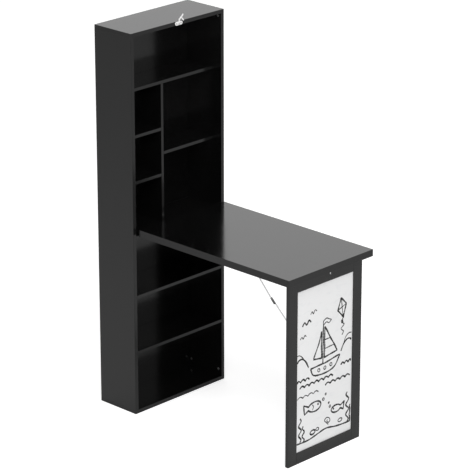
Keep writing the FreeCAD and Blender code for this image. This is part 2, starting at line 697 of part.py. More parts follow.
def leaf_screw(axis, face, inward, across, gap=""):
    """A small countersunk screw whose head is level with a leaf's face, or the hole for it."""
    seat = "%s + small_screw_head * (%d)" % (face, inward)
    end = "%s + (small_screw_length - groove_gap) * (%d)" % (face, inward)
    head_radii = ["small_screw_head_radius" + gap, "small_screw_radius" + gap]
    if inward > 0:
        return fuse([cone(axis, face, seat, across, *head_radii),
                     rod(axis, face, end, across, "small_screw_radius" + gap)])
    return fuse([cone(axis, seat, face, across, *reversed(head_radii)),
                 rod(axis, end, face, across, "small_screw_radius" + gap)])


LEAF_UNDER = "desk_underside - leaf_thickness"
desk_screw_y = DESK_AXIS + " - long_leaf_reach + long_leaf_screw_edge"
leg_hinge_desk_screw_y = LEG_AXIS + " + long_leaf_reach - long_leaf_screw_edge"
LEG_SCREW_HEIGHT = HINGE_HEIGHT + " - long_leaf_reach + long_leaf_screw_edge"
LEG_LEAF_FACE = "-leg_inner_face + leaf_thickness"
GAP = " + fit_gap"

cabinet_leaves, desk_leaves, cabinet_screws, desk_screws, desk_pins = [], [], [], [], []
for centre in DESK_HINGES:
    screw_x = hinge_screw_places(centre)
    leaf_y = ("-leaf_thickness", "0")
    cabinet_leaves.append(leaf(
        centre, DESK_AXIS, 0,
        (leaf_y, (HINGE_HEIGHT + " - short_leaf_reach", HINGE_HEIGHT + " - hinge_drop")),
        (leaf_y, (HINGE_HEIGHT + " - hinge_drop", HINGE_HEIGHT)),
        [leaf_screw("y", "-leaf_thickness", 1, (x, CABINET_SCREW_HEIGHT), GAP) for x in screw_x]))
    desk_leaves.append(leaf(
        centre, DESK_AXIS, 1,
        ((DESK_AXIS + " - long_leaf_reach", DESK_AXIS + " - hinge_drop"), (LEAF_UNDER, "desk_underside")),
        ((DESK_AXIS + " - hinge_drop", DESK_AXIS), (LEAF_UNDER, "desk_underside")),
        [leaf_screw("z", LEAF_UNDER, 1, (x, desk_screw_y), GAP) for x in screw_x]))
    cabinet_screws += [leaf_screw("y", "-leaf_thickness", 1, (x, CABINET_SCREW_HEIGHT)) for x in screw_x]
    desk_screws += [leaf_screw("z", LEAF_UNDER, 1, (x, desk_screw_y)) for x in screw_x]
    desk_pins.append(hinge_pin(centre, DESK_AXIS))
keep("desk_hinge_cabinet_leaves", group(cabinet_leaves))
keep("desk_hinge_desk_leaves", group(desk_leaves))
keep("desk_hinge_cabinet_screws", group(cabinet_screws))
keep("desk_hinge_desk_screws", group(desk_screws))
keep("desk_hinge_pins", group(desk_pins))

under_leaves, leg_leaves, under_screws, leg_screws, leg_pins = [], [], [], [], []
for centre in LEG_HINGES:
    screw_x = hinge_screw_places(centre)
    face_y = ("-leg_inner_face", LEG_LEAF_FACE)
    under_leaves.append(leaf(
        centre, LEG_AXIS, 0,
        ((LEG_AXIS + " + hinge_drop", LEG_AXIS + " + long_leaf_reach"), (LEAF_UNDER, "desk_underside")),
        ((LEG_AXIS, LEG_AXIS + " + hinge_drop"), (LEAF_UNDER, "desk_underside")),
        [leaf_screw("z", LEAF_UNDER, 1, (x, leg_hinge_desk_screw_y), GAP) for x in screw_x]))
    leg_leaves.append(leaf(
        centre, LEG_AXIS, 1,
        (face_y, (HINGE_HEIGHT + " - long_leaf_reach", HINGE_HEIGHT + " - hinge_drop")),
        (face_y, (HINGE_HEIGHT + " - hinge_drop", HINGE_HEIGHT)),
        [leaf_screw("y", LEG_LEAF_FACE, -1, (x, LEG_SCREW_HEIGHT), GAP) for x in screw_x]))
    under_screws += [leaf_screw("z", LEAF_UNDER, 1, (x, leg_hinge_desk_screw_y)) for x in screw_x]
    leg_screws += [leaf_screw("y", LEG_LEAF_FACE, -1, (x, LEG_SCREW_HEIGHT)) for x in screw_x]
    leg_pins.append(hinge_pin(centre, LEG_AXIS))
keep("leg_hinge_desk_leaves", group(under_leaves))
keep("leg_hinge_leg_leaves", group(leg_leaves))
keep("leg_hinge_desk_screws", group(under_screws))
keep("leg_hinge_leg_screws", group(leg_screws))
keep("leg_hinge_pins", group(leg_pins))

# Folding stays: a bracket, rivet and link from the desk, and the same from the leg
STAY_DESK_Y = LEG_AXIS + " + stay_reach"
STAY_LEG_Z = HINGE_HEIGHT + " - stay_reach"
LINK_LENGTH = "sqrt(stay_reach^2 / 2 + stay_offset^2)"
LINK_TURN = "45 deg + atan(stay_offset * sqrt(2) / stay_reach)"
EAR_OUT = ("stay_plane - stay_link_thickness / 2", "stay_plane + stay_link_thickness / 2")
UPPER_X = (EAR_OUT[0] + " - stay_ear_gap - stay_link_thickness", EAR_OUT[0] + " - stay_ear_gap")
LOWER_X = (UPPER_X[0] + " - stay_link_gap - stay_link_thickness", UPPER_X[0] + " - stay_link_gap")
EAR_IN = (LOWER_X[0] + " - stay_ear_gap - stay_link_thickness", LOWER_X[0] + " - stay_ear_gap")
DESK_FOOT_MIDDLE = EAR_OUT[0] + " + stay_link_thickness + (stay_foot_width - stay_link_thickness) / 2"
LEG_FOOT_MIDDLE = EAR_IN[0] + " - (stay_foot_width - stay_link_thickness) / 2"
DESK_FOOT_SCREWS = [STAY_DESK_Y + " + (%s) * stay_screw_pitch / 2" % step for step in STEPS]
LEG_FOOT_SCREWS = [STAY_LEG_Z + " + (%s) * stay_screw_pitch / 2" % step for step in STEPS]

desk_brackets, desk_rivets, bracket_screws = [], [], []
leg_brackets, leg_rivets, leg_bracket_screws = [], [], []
for side in SIDES.values():
    foot = span(side, EAR_OUT[0], EAR_OUT[0] + " + stay_foot_width")
    screw_across = [(at_side(side, DESK_FOOT_MIDDLE), y) for y in DESK_FOOT_SCREWS]
    ear = span(side, *EAR_OUT)
    desk_brackets.append(cut(fuse([
        slab(foot, (STAY_DESK_Y + " - stay_foot_length / 2", STAY_DESK_Y + " + stay_foot_length / 2"),
             (LEAF_UNDER, "desk_underside")),
        slab(ear, (STAY_DESK_Y + " - stay_ear_width / 2", STAY_DESK_Y + " + stay_ear_width / 2"),
             (HINGE_HEIGHT, "desk_underside")),
        rod("x", *ear, (STAY_DESK_Y, HINGE_HEIGHT), "stay_ear_reach"),
    ]), [leaf_screw("z", LEAF_UNDER, 1, place_pair, GAP) for place_pair in screw_across]
        + [rod("x", *ear, (STAY_DESK_Y, HINGE_HEIGHT), "stay_rivet_radius" + GAP)]))
    bracket_screws += [leaf_screw("z", LEAF_UNDER, 1, place_pair) for place_pair in screw_across]
    shank = (UPPER_X[0] + " - stay_rivet_head", EAR_OUT[1] + " + stay_rivet_head")
    across = (STAY_DESK_Y, HINGE_HEIGHT)
    desk_rivets.append(fuse([
        rod("x", *span(side, *shank), across, "stay_rivet_radius"),
        rod("x", *span(side, shank[0], UPPER_X[0]), across, "stay_rivet_head_radius"),
        rod("x", *span(side, EAR_OUT[1], shank[1]), across, "stay_rivet_head_radius"),
    ]))

    foot = span(side, EAR_IN[1] + " - stay_foot_width", EAR_IN[1])
    screw_across = [(at_side(side, LEG_FOOT_MIDDLE), z) for z in LEG_FOOT_SCREWS]
    ear = span(side, *EAR_IN)
    leg_brackets.append(cut(fuse([
        slab(foot, ("-leg_inner_face", LEG_LEAF_FACE),
             (STAY_LEG_Z + " - stay_foot_length / 2", STAY_LEG_Z + " + stay_foot_length / 2")),
        slab(ear, ("-leg_inner_face", LEG_AXIS),
             (STAY_LEG_Z + " - stay_ear_width / 2", STAY_LEG_Z + " + stay_ear_width / 2")),
        rod("x", *ear, (LEG_AXIS, STAY_LEG_Z), "stay_ear_reach"),
    ]), [leaf_screw("y", LEG_LEAF_FACE, -1, place_pair, GAP) for place_pair in screw_across]
        + [rod("x", *ear, (LEG_AXIS, STAY_LEG_Z), "stay_rivet_radius" + GAP)]))
    leg_bracket_screws += [leaf_screw("y", LEG_LEAF_FACE, -1, place_pair) for place_pair in screw_across]
    shank = (EAR_IN[0] + " - stay_rivet_head", LOWER_X[1] + " + stay_rivet_head")
    across = (LEG_AXIS, STAY_LEG_Z)
    leg_rivets.append(fuse([
        rod("x", *span(side, *shank), across, "stay_rivet_radius"),
        rod("x", *span(side, shank[0], EAR_IN[0]), across, "stay_rivet_head_radius"),
        rod("x", *span(side, LOWER_X[1], shank[1]), across, "stay_rivet_head_radius"),
    ]))
keep("stay_desk_brackets", group(desk_brackets))
keep("stay_desk_rivets", group(desk_rivets))
keep("stay_desk_screws", group(bracket_screws))
keep("stay_leg_brackets", group(leg_brackets))
keep("stay_leg_rivets", group(leg_rivets))
keep("stay_leg_screws", group(leg_bracket_screws))


def from_pivot(item, x, y, z):
    """Place a block or bar of a link, which is drawn about the link's own pivot."""
    bind(item, "Placement.Base.x", x)
    bind(item, "Placement.Base.y", y)
    bind(item, "Placement.Base.z", z)
    return item


def link_slab(x, along, direction, width="stay_link_width"):
    """A block of a link. The limits called along are distances from the pivot."""
    item = doc.addObject("Part::Box", "link_block")
    bind(item, "Length", "(%s) - (%s)" % (x[1], x[0]))
    length = "(%s) - (%s)" % (along[1], along[0])
    if direction == "y":
        bind(item, "Width", length)
        bind(item, "Height", width)
        return from_pivot(item, x[0], "-(%s)" % along[1], "-(%s) / 2" % width)
    bind(item, "Height", length)
    bind(item, "Width", width)
    return from_pivot(item, x[0], "-(%s) / 2" % width, along[0])


def link_disc(x, distance, direction, radius):
    item = doc.addObject("Part::Cylinder", "link_disc")
    bind(item, "Radius", radius)
    bind(item, "Height", "(%s) - (%s)" % (x[1], x[0]))
    item.Placement = FreeCAD.Placement(FreeCAD.Vector(), TURNS["x"])
    if direction == "y":
        return from_pivot(item, x[0], "-(%s)" % distance, "0")
    return from_pivot(item, x[0], "0", distance)


def link(side, limits, boss, direction):
    """One link: a strip with round ends, a rivet hole at its pivot and a boss at the middle joint."""
    x = span(side, *limits)
    strip = fuse([
        link_slab(x, ("0", LINK_LENGTH), direction),
        link_disc(x, "0", direction, "stay_link_width / 2"),
        link_disc(x, LINK_LENGTH, direction, "stay_link_width / 2"),
        link_disc(span(side, *boss), LINK_LENGTH, direction, "stay_boss_radius"),
    ])
    return cut(strip, [link_disc(x, "0", direction, "stay_rivet_radius + fit_gap")])


def sleeve(side):
    """The lock sleeve at the lower end of an upper link, over the middle joint."""
    end = LINK_LENGTH + " - sleeve_overlap + sleeve_length"
    outer = (UPPER_X[1], UPPER_X[1] + " + sleeve_wall")
    inner = (LOWER_X[1] + " + sleeve_link_gap", UPPER_X[1])
    return fuse([
        link_slab(span(side, *outer), (LINK_LENGTH + " - sleeve_overlap", end), "y", "sleeve_width"),
        link_slab(span(side, *inner), (LINK_LENGTH + " + stay_link_width / 2 + stay_ear_gap", end), "y",
                  "sleeve_width"),
    ])


def turned(item, turn, y, z):
    """Set a group of links at its pivot, turned about X."""
    start = FreeCAD.Rotation(FreeCAD.Vector(1, 0, 0), read(turn))
    item.Placement = FreeCAD.Placement(FreeCAD.Vector(), start)
    bind(item, "Placement.Rotation.Angle", turn)
    place(item, "0", y, z)
    return item


upper_boss = (UPPER_X[0] + " - stay_boss_height", UPPER_X[0])
lower_boss = (LOWER_X[1], LOWER_X[1] + " + stay_boss_height")
upper_links = group([link(side, UPPER_X, upper_boss, "y") for side in SIDES.values()])
lower_links = group([link(side, LOWER_X, lower_boss, "z") for side in SIDES.values()])
sleeves = group([sleeve(side) for side in SIDES.values()])
keep("stay_upper_links", turned(upper_links, LINK_TURN, STAY_DESK_Y, HINGE_HEIGHT))
keep("stay_lock_sleeves", turned(sleeves, LINK_TURN, STAY_DESK_Y, HINGE_HEIGHT))
keep("stay_lower_links", turned(lower_links, "-(%s)" % LINK_TURN, LEG_AXIS, STAY_LEG_Z))

# Desk board and the knob that the hook catches
DESK_REAR = "-desk_front_gap"
DESK_END = "-desk_front_gap - desk_length"
KNOB_Y = DESK_AXIS + " - (%s - hook_travel - (%s))" % (LATCH_HEIGHT, HINGE_HEIGHT)
desk_panel = board("desk_panel", ("-desk_width / 2", "desk_width / 2"), (DESK_END, DESK_REAR),
                   ("desk_underside", "desk_underside + desk_thickness"))
bore_z = ("desk_underside - cut_overrun", LEAF_UNDER + " + small_screw_length")
desk_cuts = []
for hinges, y in ((DESK_HINGES, desk_screw_y), (LEG_HINGES, leg_hinge_desk_screw_y)):
    for centre in hinges:
        desk_cuts += [screw_bore("z", *bore_z, (x, y)) for x in hinge_screw_places(centre)]
for side in SIDES.values():
    for y in DESK_FOOT_SCREWS:
        desk_cuts.append(screw_bore("z", *bore_z, (at_side(side, DESK_FOOT_MIDDLE), y)))
desk_cuts.append(rod("z", "desk_underside - cut_overrun", "desk_underside + knob_grip", ("0", KNOB_Y),
                     "knob_radius + fit_gap"))
keep("desk_board", cut(desk_panel, desk_cuts))
KNOB_END = "desk_underside - knob_reach"
keep("latch_knob", fuse([
    rod("z", KNOB_END, "desk_underside + knob_grip - groove_gap", ("0", KNOB_Y), "knob_radius"),
    rod("z", KNOB_END, KNOB_END + " + knob_head", ("0", KNOB_Y), "knob_head_radius"),
]))

# Leg: a frame of two stiles and two rails, with the whiteboard in a groove of the frame
LEG_Y = ("-leg_inner_face - leg_thickness", "-leg_inner_face")
LEG_MIDDLE = "-leg_inner_face - leg_thickness / 2"
LEG_BORE_Y = (LEG_LEAF_FACE + " - small_screw_length", "-leg_inner_face + cut_overrun")
LEG_TOP = "desk_underside - leg_top_gap"
LEG_HALF = "leg_width / 2"
RAIL_HALF = "leg_width / 2 - stile_width"
WINDOW_TOP = LEG_TOP + " - top_rail_height"
BOARD_FRONT = "-leg_inner_face - leg_thickness + whiteboard_setback"
BOARD_REAR = BOARD_FRONT + " + whiteboard_thickness"
GROOVE_Y = (BOARD_FRONT + " - groove_gap", BOARD_REAR + " + groove_gap")
GROOVE_Z = ("bottom_rail_height - whiteboard_groove", WINDOW_TOP + " + whiteboard_groove")
RAIL_MIDDLES = ("bottom_rail_height / 2", LEG_TOP + " - top_rail_height / 2")
FRAME_DOWEL_HEIGHTS = ["%s + (%s) * frame_dowel_spread" % (middle, step)
                       for middle in RAIL_MIDDLES for step in STEPS]


def frame_dowel(side, height, gap):
    x = span(side, RAIL_HALF + " - frame_dowel_half_length", RAIL_HALF + " + frame_dowel_half_length")
    return rod("x", *x, (LEG_MIDDLE, height), "frame_dowel_radius" + gap)


for name, side in SIDES.items():
    stile = board("stile", span(side, RAIL_HALF, LEG_HALF), LEG_Y, ("0", LEG_TOP))
    groove_x = span(side, RAIL_HALF + " - cut_overrun", RAIL_HALF + " + whiteboard_groove")
    groove = slab(groove_x, GROOVE_Y, GROOVE_Z)
    bores = [frame_dowel(side, height, GAP) for height in FRAME_DOWEL_HEIGHTS]
    for z in LEG_FOOT_SCREWS:
        bores.append(screw_bore("y", *LEG_BORE_Y, (at_side(side, LEG_FOOT_MIDDLE), z)))
    keep("leg_%s_stile" % name, cut(stile, [groove] + bores))

RAILS = {
    "leg_bottom_rail": (("0", "bottom_rail_height"), ("bottom_rail_height - whiteboard_groove",
                                                      "bottom_rail_height + cut_overrun"), RAIL_MIDDLES[0]),
    "leg_top_rail": ((WINDOW_TOP, LEG_TOP), (WINDOW_TOP + " - cut_overrun",
                                             WINDOW_TOP + " + whiteboard_groove"), RAIL_MIDDLES[1]),
}
for name, (z, groove_z, middle) in RAILS.items():
    rail_x = ("-(%s)" % RAIL_HALF, RAIL_HALF)
    rail = board("rail", rail_x, LEG_Y, z)
    overrun_x = (rail_x[0] + " - cut_overrun", rail_x[1] + " + cut_overrun")
    cuts = [slab(overrun_x, GROOVE_Y, groove_z)]
    for side in SIDES.values():
        for step in STEPS:
            cuts.append(frame_dowel(side, "%s + (%s) * frame_dowel_spread" % (middle, step), GAP))
    if name == "leg_top_rail":
        for centre in LEG_HINGES:
            cuts += [screw_bore("y", *LEG_BORE_Y, (x, LEG_SCREW_HEIGHT))
                     for x in hinge_screw_places(centre)]
    keep(name, cut(rail, cuts))

keep("leg_frame_dowels", group([frame_dowel(side, height, "")
                                for side in SIDES.values() for height in FRAME_DOWEL_HEIGHTS]))
sheet_half = RAIL_HALF + " + whiteboard_groove - groove_gap"
keep("whiteboard", board("whiteboard_sheet", ("-(%s)" % sheet_half, sheet_half), (BOARD_FRONT, BOARD_REAR),
                         (GROOVE_Z[0] + " + groove_gap", GROOVE_Z[1] + " - groove_gap")))

doc.recompute()
for item in doc.Objects:
    if "Invalid" in item.State or "Error" in item.State:
        raise RuntimeError("%s failed: %s" % (item.Label, item.State))
for item in nodes:
    if item.Shape.isNull() or not item.Shape.isValid():
        raise RuntimeError("%s has no valid shape" % item.Label)

os.makedirs("parts", exist_ok=True)
for item in nodes:
    item.Shape.exportStep("parts/%s.step" % item.Label)
    box = item.Shape.BoundBox
    print("%-28s %2d solids %10.0f mm3  x %7.1f %7.1f  y %7.1f %7.1f  z %7.1f %7.1f" % (
        item.Label, len(item.Shape.Solids), item.Shape.Volume, box.XMin, box.XMax, box.YMin, box.YMax,
        box.ZMin, box.ZMax))
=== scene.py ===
"""Looks of the folding desk bookcase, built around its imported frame. Lengths are in metres.

The boards get their edge bands, the fittings their rounded edges and driver recesses, and the
whiteboard in the desk's leg gets a marker drawing.
"""
import json
import math
import random

import bmesh
import bpy
from mathutils import Matrix, Vector

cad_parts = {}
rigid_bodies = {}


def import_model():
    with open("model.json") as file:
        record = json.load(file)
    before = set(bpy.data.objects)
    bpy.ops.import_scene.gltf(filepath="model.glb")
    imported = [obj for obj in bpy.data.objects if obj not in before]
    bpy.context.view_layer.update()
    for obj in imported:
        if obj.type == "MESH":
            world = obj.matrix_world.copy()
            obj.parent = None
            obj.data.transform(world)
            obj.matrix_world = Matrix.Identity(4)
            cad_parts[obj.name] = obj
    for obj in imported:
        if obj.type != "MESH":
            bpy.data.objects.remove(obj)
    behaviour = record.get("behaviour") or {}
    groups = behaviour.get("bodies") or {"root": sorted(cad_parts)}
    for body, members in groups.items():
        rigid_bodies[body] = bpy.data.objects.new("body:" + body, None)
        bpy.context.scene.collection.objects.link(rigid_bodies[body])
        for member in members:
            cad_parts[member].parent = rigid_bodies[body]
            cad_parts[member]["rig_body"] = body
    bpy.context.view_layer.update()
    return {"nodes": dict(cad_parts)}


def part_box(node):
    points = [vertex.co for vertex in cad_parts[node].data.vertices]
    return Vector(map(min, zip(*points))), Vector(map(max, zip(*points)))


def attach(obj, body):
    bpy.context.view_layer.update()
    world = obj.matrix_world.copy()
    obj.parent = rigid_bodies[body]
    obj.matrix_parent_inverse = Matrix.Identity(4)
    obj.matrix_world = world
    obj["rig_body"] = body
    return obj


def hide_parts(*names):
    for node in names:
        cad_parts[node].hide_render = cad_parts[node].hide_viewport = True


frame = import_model()
MM = 0.001
DEPTHWISE = 1  # the axis from the front of the cabinet to its rear
BODY_OF = {node: item["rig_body"] for node, item in frame["nodes"].items()}


class Field:
    """A number, colour or vector from a node's socket. Sums on it add Math nodes."""

    def __init__(self, shading, socket):
        self.shading = shading
        self.socket = socket

    def __add__(self, other):
        return self.shading.sum("ADD", self, other)

    def __radd__(self, other):
        return self.shading.sum("ADD", other, self)

    def __sub__(self, other):
        return self.shading.sum("SUBTRACT", self, other)

    def __rsub__(self, other):
        return self.shading.sum("SUBTRACT", other, self)

    def __mul__(self, other):
        return self.shading.sum("MULTIPLY", self, other)

    def __rmul__(self, other):
        return self.shading.sum("MULTIPLY", other, self)

    def above(self, level, softness):
        """0 below a level and 1 above it, with a soft step between."""
        return self.shading.node(
            "MapRange", {"interpolation_type": "SMOOTHSTEP"},
            {"Value": self, "From Min": level - softness, "From Max": level + softness})


# Sockets of a Mix node that mixes colours
MIX_SHARE, MIX_FIRST, MIX_SECOND, MIX_COLOUR = 0, 6, 7, 2


class Shading:
    """The nodes of one material or of the room."""

    def __init__(self, owner, shader):
        owner.use_nodes = True
        self.nodes = owner.node_tree.nodes
        self.links = owner.node_tree.links
        self.shader = self.nodes[shader]

    def node(self, kind, settings=None, values=None, output=0):
        """Add any node by its type, its settings and the values or fields of its sockets."""
        made = self.nodes.new("ShaderNode" + kind)
        for name, value in (settings or {}).items():
            setattr(made, name, value)
        for socket, value in (values or {}).items():
            if isinstance(value, Field):
                self.links.new(value.socket, made.inputs[socket])
            else:
                made.inputs[socket].default_value = value
        return Field(self, made.outputs[output])

    def sum(self, operation, first, second):
        """One sum on two numbers or fields."""
        return self.node("Math", {"operation": operation}, {0: first, 1: second})

    def blend(self, share, first, second):
        """One colour where the share is 0 and another where it is 1."""
        return self.node("Mix", {"data_type": "RGBA"},
                         {MIX_SHARE: share, MIX_FIRST: first, MIX_SECOND: second}, MIX_COLOUR)

    def feed(self, **fields):
        """Link fields to the shader, such as base_color or roughness."""
        for name, field in fields.items():
            self.links.new(field.socket, self.shader.inputs[name.replace("_", " ").title()])


class Finish(Shading):
    """One material: a Principled shader and the fields that feed it."""

    def __init__(self, name, constants):
        self.material = bpy.data.materials.new(name)
        super().__init__(self.material, "Principled BSDF")
        for socket, value in constants.items():
            self.shader.inputs[socket].default_value = value
        self.places = self.node("TexCoord", output="Object")

    def grain(self, size, stretch=(1, 1, 1), detail=2.0, distortion=0.0):
        """Noise whose blots are about one size across, drawn out along the axes by the stretch."""
        scale = [1 / (size * share) for share in stretch]
        places = self.node("Mapping", values={"Vector": self.places, "Scale": scale})
        return self.node("TexNoise", values={
            "Vector": places, "Scale": 1.0, "Detail": detail, "Distortion": distortion})

    def cells(self, size):
        """Distance to the nearest of scattered points, which lie about one size apart."""
        return self.node("TexVoronoi", values={"Vector": self.places, "Scale": 1 / size})

    def facing(self, axis):
        """How far the surface faces one way along an axis of the object, from -1 to 1."""
        normal = self.node("TexCoord", output="Normal")
        return self.node("SeparateXYZ", values={"Vector": normal}, output=axis)

    def relief(self, height, depth):
        """Raise and lower the surface by a field, by up to a depth in metres."""
        bump = self.node("Bump", values={"Height": height, "Distance": depth, "Strength": 1.0})
        self.feed(normal=bump)


def grey(level, warmth=0.0):
    """A grey that a share of warmth turns towards brown, or away from it below zero."""
    return (level * (1 + warmth), level, level * (1 - warmth), 1)


def laminate_finish(name, gloss):
    """Black melamine on chipboard: a fine pearl, faint wipe marks and specks of dust."""
    finish = Finish(name, {"IOR": gloss})
    pearl = finish.grain(0.5 * MM, detail=3)
    smudge = finish.grain(90 * MM, detail=4, distortion=0.6)
    wiped = finish.grain(6 * MM, stretch=(1, 1, 9), detail=3)
    clean = finish.cells(7 * MM).above(0.07, 0.03)
    tone = finish.blend(smudge * 0.6 + pearl * 0.4, grey(0.0018), grey(0.005))
    finish.feed(base_color=finish.blend(clean, grey(0.016), tone),
                roughness=0.075 + smudge * 0.06 + wiped * 0.025 + pearl * 0.015)
    finish.relief(pearl, 0.002 * MM)
    return finish.material


def edge_band_finish():
    """Black edge band: a little duller than the boards, with marks along its length."""
    finish = Finish("black_edge_band_finish", {"IOR": 1.42})
    drawn = finish.grain(0.7 * MM, stretch=(1, 1, 30), detail=2)
    cross = finish.grain(0.7 * MM, stretch=(30, 30, 1), detail=2)
    worn = finish.grain(14 * MM, detail=5)
    tone = finish.blend(worn, grey(0.004), grey(0.010))
    finish.feed(base_color=tone, roughness=0.15 + worn * 0.08 + drawn * 0.02)
    finish.relief(drawn + cross, 0.004 * MM)
    return finish.material


def leg_frame_finish():
    """Black foil on the leg's frame, brushed along each piece."""
    finish = Finish("black_foil_finish", {"IOR": 1.46})
    pearl = finish.grain(0.45 * MM, detail=3)
    smudge = finish.grain(60 * MM, detail=4, distortion=0.4)
    tone = finish.blend(smudge, grey(0.003), grey(0.008))
    finish.feed(base_color=tone, roughness=0.14 + smudge * 0.07 + pearl * 0.02)
    finish.relief(pearl, 0.003 * MM)
    return finish.material


def back_panel_finish():
    """Thin hardboard: black lacquer on the shelves' side, bare brown fibre on the rear."""
    finish = Finish("back_panel_finish", {"IOR": 1.43})
    fibre = finish.grain(1.6 * MM, stretch=(1, 1, 2.4), detail=6, distortion=1.2)
    blotch = finish.grain(45 * MM, detail=3)
    bare = finish.facing(DEPTHWISE).above(0.5, 0.1)
    dark_fibre, light_fibre = (0.12, 0.062, 0.03, 1), (0.27, 0.165, 0.09, 1)
    brown = finish.blend(fibre * 0.7 + blotch * 0.3, dark_fibre, light_fibre)
    black = finish.blend(blotch, grey(0.002), grey(0.0045))
    finish.feed(base_color=finish.blend(bare, black, brown),
                roughness=0.13 + blotch * 0.06 + bare * 0.45)
    finish.relief(fibre * (0.06 + bare), 0.03 * MM)
    return finish.material


def whiteboard_finish():
    """Glossy white lacquer with faint grey traces of wiped marker."""
    finish = Finish("whiteboard_finish", {"IOR": 1.5})
    traces = finish.grain(38 * MM, stretch=(1.5, 1, 0.6), detail=5, distortion=1.4)
    ripple = finish.grain(9 * MM, detail=1)
    ghost = traces.above(0.63, 0.12)
    finish.feed(base_color=finish.blend(ghost, (0.845, 0.846, 0.848, 1), (0.8, 0.804, 0.812, 1)),
                roughness=0.14 + ghost * 0.1 + ripple * 0.03)
    finish.relief(ripple, 0.01 * MM)
    return finish.material


def marker_finish():
    """Dry black marker, thinner in places."""
    finish = Finish("marker_ink_finish", {"IOR": 1.4})
    dry = finish.grain(2.2 * MM, detail=5)
    finish.feed(base_color=finish.blend(dry.above(0.6, 0.14), grey(0.004), grey(0.014)),
                roughness=0.45 + dry * 0.2)
    finish.relief(dry, 0.01 * MM)
    return finish.material


def metal_finish(name, light, dark, roughness, size, spots):
    """Plated steel or cast zinc: fine scratches over a mottled skin."""
    finish = Finish(name, {"Metallic": 1.0})
    skin = finish.grain(size, detail=4)
    scratch = finish.grain(0.25 * MM, stretch=(14, 14, 1), detail=2)
    tarnish = finish.cells(size * 2.5).above(0.5, 0.3)
    tone = finish.blend(skin, dark, light)
    finish.feed(base_color=finish.blend(tarnish * spots, tone, dark),
                roughness=roughness + skin * 0.1 + scratch * 0.08)
    finish.relief(scratch * 0.5 + skin, 0.008 * MM)
    return finish.material


def plastic_finish(name, light, dark, roughness):
    """Moulded plastic with a fine spark-eroded skin."""
    finish = Finish(name, {"IOR": 1.46})
    skin = finish.cells(0.35 * MM)
    flow = finish.grain(8 * MM, detail=3)
    finish.feed(base_color=finish.blend(flow, dark, light), roughness=roughness + flow * 0.08)
    finish.relief(skin, 0.01 * MM)
    return finish.material


def beech_finish():
    """Beech dowels: fluted along the grain, with short darker flecks."""
    finish = Finish("beech_dowel_finish", {"IOR": 1.4})
    fibre = finish.grain(1.2 * MM, stretch=(1, 1, 8), detail=5)
    plain = finish.cells(1.1 * MM).above(0.3, 0.1)
    tone = finish.blend(fibre, (0.42, 0.25, 0.12, 1), (0.64, 0.43, 0.25, 1))
    finish.feed(base_color=finish.blend(plain, (0.3, 0.16, 0.075, 1), tone),
                roughness=0.55 + fibre * 0.2)
    finish.relief(fibre, 0.05 * MM)
    return finish.material


FINISHES = {
    "laminate": laminate_finish("black_laminate_finish", gloss=1.48),
    "desk_laminate": laminate_finish("desk_laminate_finish", gloss=1.68),
    "edge_band": edge_band_finish(),
    "foil": leg_frame_finish(),
    "back_panel": back_panel_finish(),
    "whiteboard": whiteboard_finish(),
    "marker": marker_finish(),
    "zinc_plate": metal_finish("zinc_plate_finish", grey(0.86), grey(0.7, -0.01),
                               roughness=0.24, size=3 * MM, spots=0.3),
    "screw": metal_finish("screw_steel_finish", grey(0.7), grey(0.5, -0.02),
                          roughness=0.22, size=1.5 * MM, spots=0.4),
    "cast_zinc": metal_finish("cast_zinc_finish", grey(0.72), grey(0.5),
                              roughness=0.34, size=1.2 * MM, spots=0.5),
    "nickel": metal_finish("nickel_finish", grey(0.84, 0.01), grey(0.72, 0.02),
                           roughness=0.12, size=4 * MM, spots=0.2),
    "white_plastic": plastic_finish("white_plastic_finish", grey(0.86), grey(0.8, 0.01),
                                    roughness=0.24),
    "black_plastic": plastic_finish("black_plastic_finish", grey(0.02), grey(0.012),
                                    roughness=0.33),
    "sleeve_plastic": plastic_finish("sleeve_plastic_finish", grey(0.13), grey(0.1),
                                     roughness=0.36),
    "beech": beech_finish(),
}

# Corners this close are one, and faces this level are one
WELD_DISTANCE = 0.001 * MM
FLAT_ANGLE = math.radians(0.5)
# Edges bent more than this are sharp
SHARP_ANGLE = math.radians(32)
# A corner this close to a plane lies on it
NEAR = 0.002 * MM
# A bevel's profile that is part of a circle
ROUND_PROFILE = 0.5


def welded_copy(node):
    """A node's mesh with its corners joined and its flat faces whole."""
    bm = bmesh.new()
    bm.from_mesh(frame["nodes"][node].data)
    bmesh.ops.remove_doubles(bm, verts=bm.verts[:], dist=WELD_DISTANCE)
    bmesh.ops.dissolve_limit(bm, angle_limit=FLAT_ANGLE, verts=bm.verts[:], edges=bm.edges[:])
    return bm


def piece(name, bm, body, finish, stands_for=(), smooth=False):
    """Turn a mesh in the making into a named piece that rides on its body."""
    mesh = bpy.data.meshes.new(name)
    bmesh.ops.recalc_face_normals(bm, faces=bm.faces[:])
    bm.to_mesh(mesh)
    bm.free()
    if smooth:
        mesh.shade_smooth()
        mesh.set_sharp_from_angle(angle=SHARP_ANGLE)
    made = bpy.data.objects.new(name, mesh)
    bpy.context.scene.collection.objects.link(made)
    mesh.materials.append(FINISHES[finish])
    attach(made, body)
    if stands_for:
        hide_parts(*stands_for)
    return made


def soften(bm, edges, width, rounds=2):
    """Round some edges of a mesh."""
    bmesh.ops.bevel(bm, geom=edges, offset=width, offset_type="OFFSET", segments=rounds,
                    profile=ROUND_PROFILE, affect="EDGES", clamp_overlap=False)


def touched_planes(vert, low, high):
    """Which outer planes of a box a corner lies on."""
    return {(axis, end) for axis in range(3) for end, limit in enumerate((low, high))
            if abs(vert.co[axis] - limit[axis]) < NEAR}


